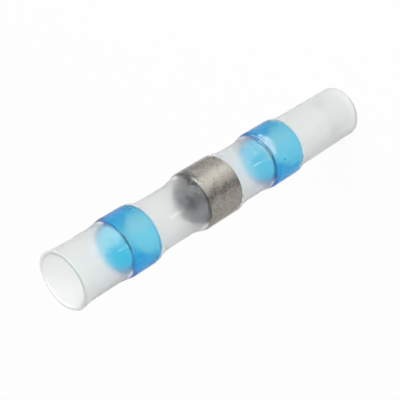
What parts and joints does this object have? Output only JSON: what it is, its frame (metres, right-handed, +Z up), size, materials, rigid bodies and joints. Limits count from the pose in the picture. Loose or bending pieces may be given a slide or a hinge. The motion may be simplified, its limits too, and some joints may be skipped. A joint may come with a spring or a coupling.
{
  "type": "heat shrink solder connector",
  "caption": "Clear heat shrink sleeve holding a solder ring between blue hot melt sealing rings, which joins and seals the stripped ends of electrical wires.",
  "frame": {"origin": "middle of the sleeve's plain cut end, on which the connector stands", "axes": "+Z up along the sleeve, from its plain end to its flared mouth; it is alike all round, so X and Y are any two level directions"},
  "size_m": [0.0062, 0.0062, 0.04],
  "materials": {
    "frosted_film": "frosted, satin",
    "blue_hot_melt": "satin",
    "solder": "dull, grainy"
  },
  "bodies": {
    "root": {"shrink_sleeve": "frosted_film", "upper_sealing_ring": "blue_hot_melt", "lower_sealing_ring": "blue_hot_melt", "solder_ring": "solder"}
  },
  "joints": []
}
